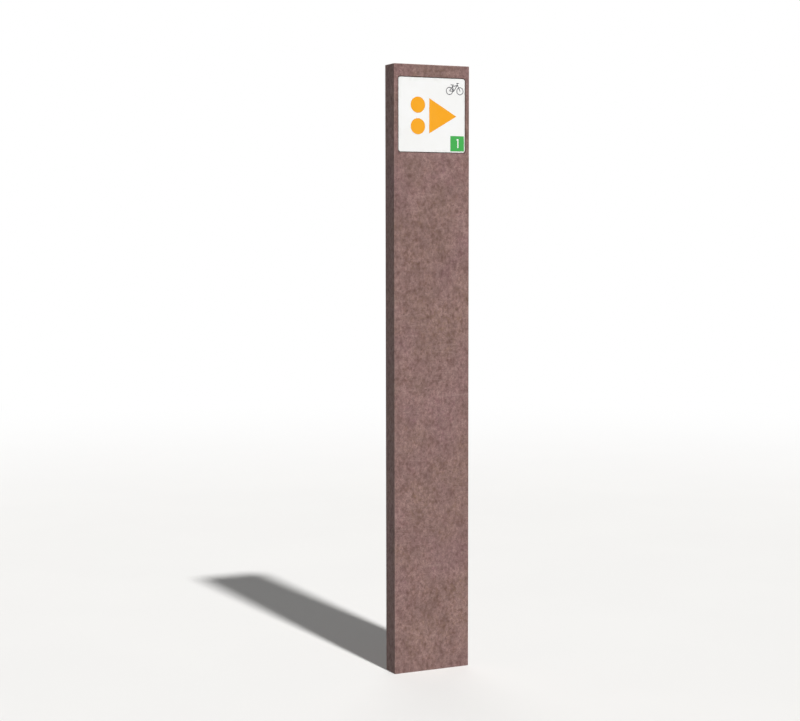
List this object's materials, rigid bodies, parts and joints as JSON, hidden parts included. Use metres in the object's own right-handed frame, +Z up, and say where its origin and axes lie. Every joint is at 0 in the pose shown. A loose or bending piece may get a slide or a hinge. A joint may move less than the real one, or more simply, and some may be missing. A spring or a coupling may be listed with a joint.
{
  "type": "trail marker",
  "caption": "Slim upright board post for marking a trail, with a square direction sign set flush into its front near the top and threaded inserts for ground rods in its foot.",
  "frame": {"origin": "centre of the foot's footprint, at ground level", "axes": "+Z up along the post, -Y out of the front that carries the sign, +X to the right of a reader who faces the sign"},
  "size_m": [0.136, 0.035, 1],
  "materials": {
    "recycled_board": "mottled brown recycled plastic, matte",
    "plate_white": "white rigid sheet, satin",
    "film_orange": "cut vinyl film, satin",
    "film_green": "cut vinyl film, satin",
    "tape_foam": "dark grey closed-cell foam tape",
    "adhesive": "cured elastic adhesive",
    "insert_brass": "turned and knurled brass"
  },
  "bodies": {
    "root": {"post_board": "recycled_board", "sign_plate": "plate_white", "disc_upper": "film_orange", "disc_lower": "film_orange", "arrow": "film_orange", "number_tile": "film_green", "foam_tape_left": "tape_foam", "foam_tape_right": "tape_foam", "adhesive_bead_left": "adhesive", "adhesive_bead_middle": "adhesive", "adhesive_bead_right": "adhesive", "threaded_insert_left": "insert_brass", "threaded_insert_right": "insert_brass"}
  },
  "joints": []
}
